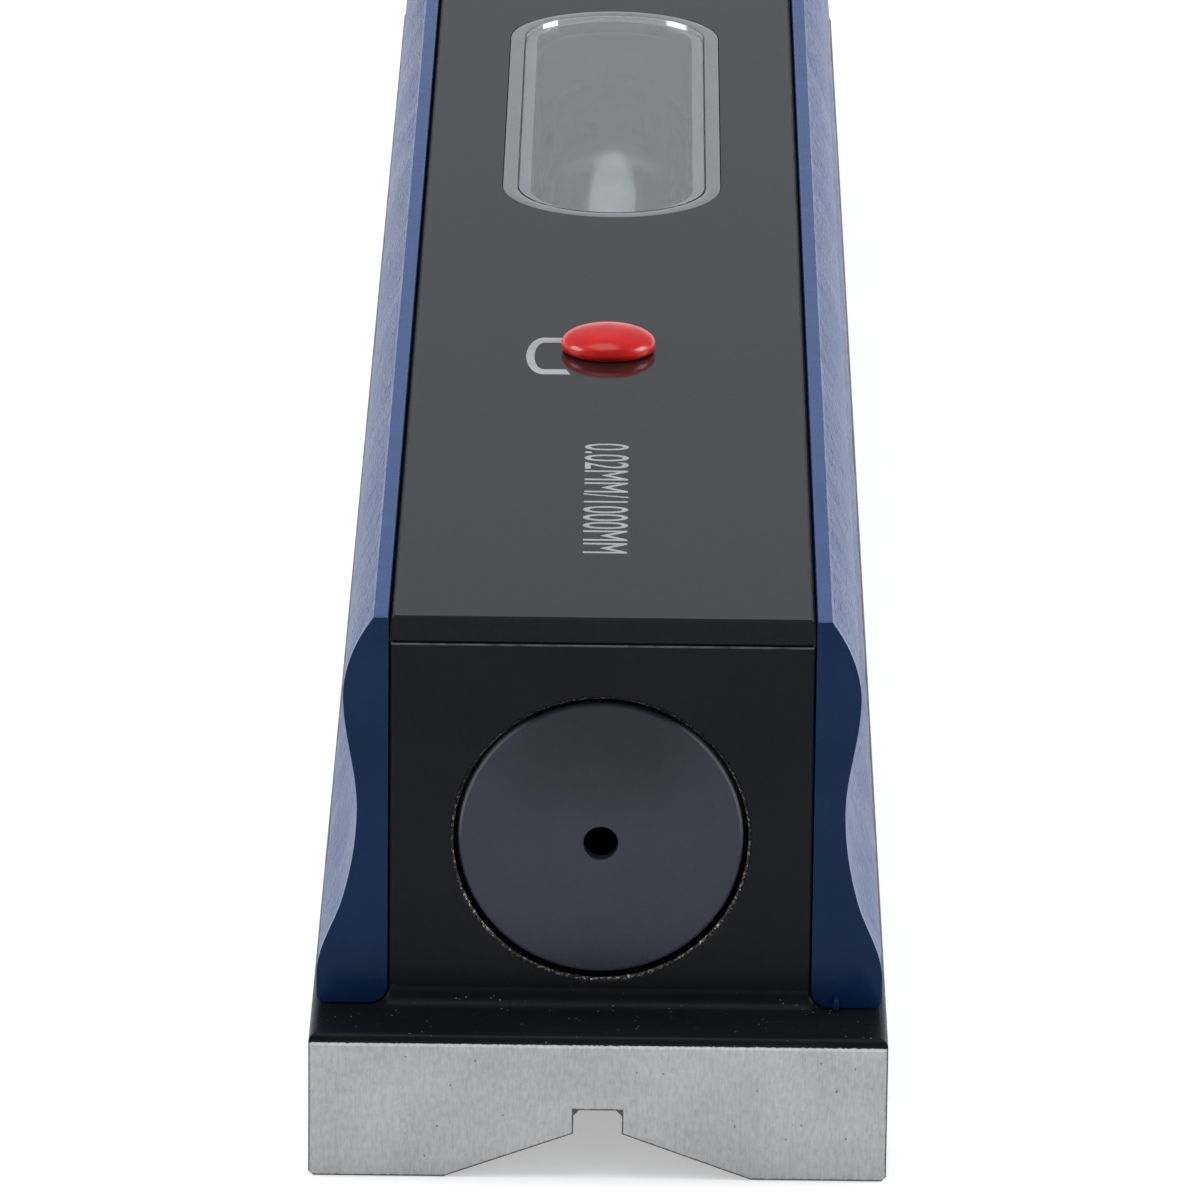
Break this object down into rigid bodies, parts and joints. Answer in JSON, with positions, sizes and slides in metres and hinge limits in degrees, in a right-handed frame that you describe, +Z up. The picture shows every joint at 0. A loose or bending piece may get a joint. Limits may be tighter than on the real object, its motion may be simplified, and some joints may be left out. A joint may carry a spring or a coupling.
{
  "type": "precision machinist level",
  "caption": "Bar spirit level with a ground V-groove sole, insulated side grips, a window over a main vial and a capped zero adjuster.",
  "frame": {"origin": "bottom centre of the ground sole", "axes": "+Z up from the sole, +Y along the level from the adjuster end to the pivot end, +X across"},
  "size_m": [0.044, 0.3, 0.0446],
  "materials": {
    "cast_black": "black stoved paint, end faces and sole ground bright",
    "gasket": "matt",
    "plate": "black, semi-gloss",
    "bezel": "light grey, satin",
    "pane": "clear, polished",
    "plug": "dark blue-grey, moulded",
    "seal": "matt",
    "grip": "blue, leather grain outside, smooth ends and upper edge",
    "cap": "red, glossy",
    "brass": "turned",
    "steel": "ground",
    "spring_steel": "bright wire",
    "black_steel": "blackened",
    "carrier": "turned, satin",
    "saddle": "milled",
    "vial_glass": "ground and polished",
    "stopper": "ground",
    "spirit": "clear yellow-green liquid",
    "bubble": "gas bubble"
  },
  "bodies": {
    "level_body": {"body_casting": "cast_black", "plate_gasket": "gasket", "top_plate": "plate", "window_bezel": "bezel", "window_pane": "pane", "near_end_plug": "plug", "far_end_plug": "plug", "near_plug_seal": "seal", "far_plug_seal": "seal", "left_grip": "grip", "right_grip": "grip", "adjuster_bushing": "brass", "lift_spring": "spring_steel", "pivot_screws": "black_steel", "guide_screws": "black_steel"},
    "carrier": {"vial_carrier": "carrier", "near_carrier_block": "carrier", "far_carrier_block": "carrier", "thrust_pad": "steel", "near_vial_saddle": "saddle", "far_vial_saddle": "saddle", "main_vial": "vial_glass", "near_vial_stopper": "stopper", "far_vial_stopper": "stopper", "spirit_fill": "spirit"},
    "bubble": {"bubble": "bubble"},
    "ball": {"thrust_ball": "steel"},
    "screw": {"zero_screw": "black_steel"},
    "cap": {"adjuster_cap": "cap"}
  },
  "joints": [
    {"name": "zero_screw_turn", "type": "hinge", "parent": "ball", "child": "screw", "pos_m": [0, -0.0732, 0.038], "axis": [0, 0, 1], "range_deg": [-360, 360]},
    {"name": "ball_travel", "type": "slide", "parent": "level_body", "child": "ball", "axis": [0, 0, 1], "range_m": [-0.0005, 0.0005], "deforming": ["lift_spring"]},
    {"name": "carrier_tilt", "type": "hinge", "parent": "level_body", "child": "carrier", "pos_m": [0, 0.0732, 0.0249], "axis": [-1, 0, 0], "range_deg": [-0.19567, 0.19567]},
    {"name": "bubble_run", "type": "slide", "parent": "carrier", "child": "bubble", "axis": [0, 1, 0], "range_m": [-0.012, 0.012], "stiffness_N_per_m": 0.4},
    {"name": "cap_pull", "type": "slide", "parent": "level_body", "child": "cap", "axis": [0, 0, 1], "range_m": [0, 0.006]}
  ],
  "couplings": [
    {"joint": "ball_travel", "follows": "carrier_tilt", "m_per_rad": 0.1464},
    {"joint": "zero_screw_turn", "follows": "carrier_tilt", "ratio": 1839.7}
  ]
}
